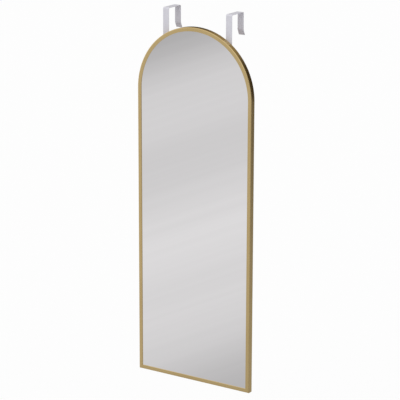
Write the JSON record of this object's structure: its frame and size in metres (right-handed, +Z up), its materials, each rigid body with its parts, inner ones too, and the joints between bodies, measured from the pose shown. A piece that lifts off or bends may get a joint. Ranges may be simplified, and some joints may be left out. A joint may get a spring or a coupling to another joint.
{
  "type": "over the door mirror",
  "caption": "Tall arched mirror in a slim gold channel frame, hung over the top edge of a door on flat strap hooks that slide in slots to set its height.",
  "frame": {"origin": "the top front edge of the door, midway between the hooks: the door's front face is Y = 0 and its top is Z = 0", "axes": "+X to the right as seen from the front, +Y back through the door, +Z up; the mirror hangs in front of the door at negative Y and below its top at negative Z"},
  "size_m": [0.34, 0.0766, 0.9685],
  "materials": {
    "gold_aluminium": "gold anodised, satin",
    "silvered_glass": "polished float glass, silvered on its back",
    "white_paint": "white powder coat on strip steel",
    "fibreboard": "raw medium density fibreboard",
    "foam": "closed cell foam",
    "zinc_plated_steel": "bright zinc plate",
    "zinc_casting": "die cast zinc, as cast",
    "spring_steel": "blued spring steel",
    "screw_steel": "nickel plated",
    "rubber": "matt black rubber"
  },
  "bodies": {
    "panel": {"frame_arch": "gold_aluminium", "frame_bottom_rail": "gold_aluminium", "corner_key_left": "zinc_casting", "corner_key_right": "zinc_casting", "corner_screws": "screw_steel", "mirror_glass": "silvered_glass", "foam_sheet": "foam", "back_board": "fibreboard", "spring_clips": "spring_steel", "cross_bar": "zinc_plated_steel", "cross_bar_screws": "screw_steel", "hook_screws_left": "screw_steel", "hook_washers_left": "screw_steel", "hook_screws_right": "screw_steel", "hook_washers_right": "screw_steel", "door_bumper_left": "rubber", "door_bumper_right": "rubber"},
    "left_hook": {"hook_left": "white_paint"},
    "right_hook": {"hook_right": "white_paint"}
  },
  "joints": [
    {"name": "left_hook_slide", "type": "slide", "parent": "panel", "child": "left_hook", "axis": [0, 0, 1], "range_m": [0, 0.03]},
    {"name": "right_hook_slide", "type": "slide", "parent": "panel", "child": "right_hook", "axis": [0, 0, 1], "range_m": [0, 0.03]}
  ]
}
